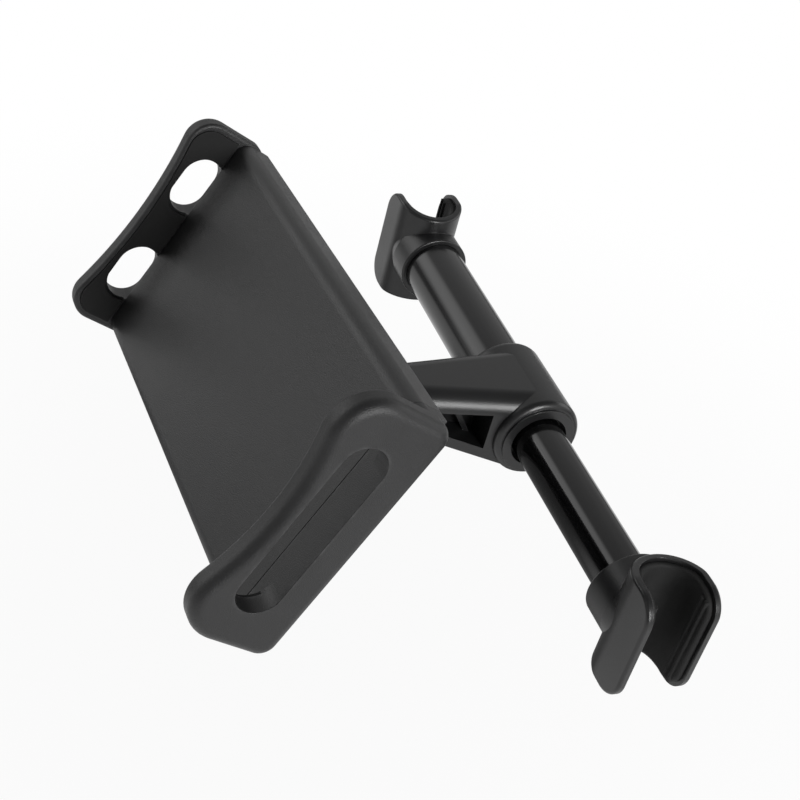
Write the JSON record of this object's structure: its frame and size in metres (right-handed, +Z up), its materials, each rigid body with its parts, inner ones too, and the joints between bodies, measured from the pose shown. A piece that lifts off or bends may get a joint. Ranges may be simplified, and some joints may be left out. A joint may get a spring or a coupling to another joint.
{
  "type": "tablet holder",
  "caption": "Car headrest tablet holder: padded hooks on a telescopic bar, a swing arm, and a ball-jointed cradle whose sprung jaw grips a tablet.",
  "frame": {"origin": "on the bar's axis, midway between the two headrest posts, at the middle of the arm's sleeve", "axes": "+X along the bar towards the sliding hook, +Y towards the seat, so the cradle faces -Y, +Z up along the headrest posts"},
  "size_m": [0.195, 0.1321, 0.0815],
  "materials": {
    "cover_plastic": "satin charcoal with a fine moulded texture",
    "jaw_plastic": "satin charcoal with a fine moulded texture",
    "arm_plastic": "satin charcoal",
    "hook_plastic": "satin charcoal",
    "nut_plastic": "satin charcoal, fluted",
    "ball_plastic": "smooth black",
    "bearing_plastic": "smooth black",
    "black_tube": "gloss black",
    "soft_rubber": "matte black",
    "dark_steel": "blackened",
    "spring_steel": "bright wire"
  },
  "bodies": {
    "bar": {"outer_tube": "black_tube", "left_hook": "hook_plastic", "left_hook_liner": "soft_rubber", "rod_guide_bush": "bearing_plastic"},
    "rod_lock": {"lock_plug": "bearing_plastic"},
    "rod": {"inner_tube": "black_tube", "right_hook": "hook_plastic", "right_hook_liner": "soft_rubber", "lock_spindle": "bearing_plastic"},
    "swing_arm": {"arm": "arm_plastic", "sleeve_bush": "bearing_plastic", "ball_stud": "ball_plastic"},
    "ball_socket": {"ball_liner": "bearing_plastic"},
    "nut": {"lock_nut": "nut_plastic"},
    "cradle": {"front_cover": "cover_plastic", "rear_cover": "cover_plastic", "left_jaw": "jaw_plastic", "left_jaw_pad": "soft_rubber", "cover_screws": "dark_steel", "jaw_spring_upper": "spring_steel", "jaw_spring_lower": "spring_steel"},
    "sliding_jaw": {"right_jaw": "jaw_plastic", "right_jaw_pad": "soft_rubber"}
  },
  "joints": [
    {"name": "rod_slide", "type": "slide", "parent": "bar", "child": "rod_lock", "axis": [1, 0, 0], "range_m": [-0.034, 0.018]},
    {"name": "rod_twist", "type": "hinge", "parent": "rod_lock", "child": "rod", "pos_m": [0, 0, 0], "axis": [1, 0, 0], "range_deg": [-90, 90]},
    {"name": "arm_swing", "type": "hinge", "parent": "bar", "child": "swing_arm", "pos_m": [0, 0, 0], "axis": [1, 0, 0], "continuous": true},
    {"name": "ball_yaw", "type": "hinge", "parent": "swing_arm", "child": "ball_socket", "pos_m": [0, -0.0697, 0.009], "axis": [0, 0.1281, 0.9918], "range_deg": [-18, 18]},
    {"name": "ball_tilt", "type": "hinge", "parent": "ball_socket", "child": "nut", "pos_m": [0, -0.0697, 0.009], "axis": [1, 0, 0], "range_deg": [-6, 50]},
    {"name": "cradle_spin", "type": "hinge", "parent": "nut", "child": "cradle", "pos_m": [0, -0.0697, 0.009], "axis": [0, -0.8728, 0.488], "continuous": true},
    {"name": "jaw_slide", "type": "slide", "parent": "cradle", "child": "sliding_jaw", "axis": [0.9972, 0.0363, 0.0649], "range_m": [0, 0.065], "stiffness_N_per_m": 80, "springref_m": -0.1, "deforming": ["jaw_spring_upper", "jaw_spring_lower"]}
  ]
}
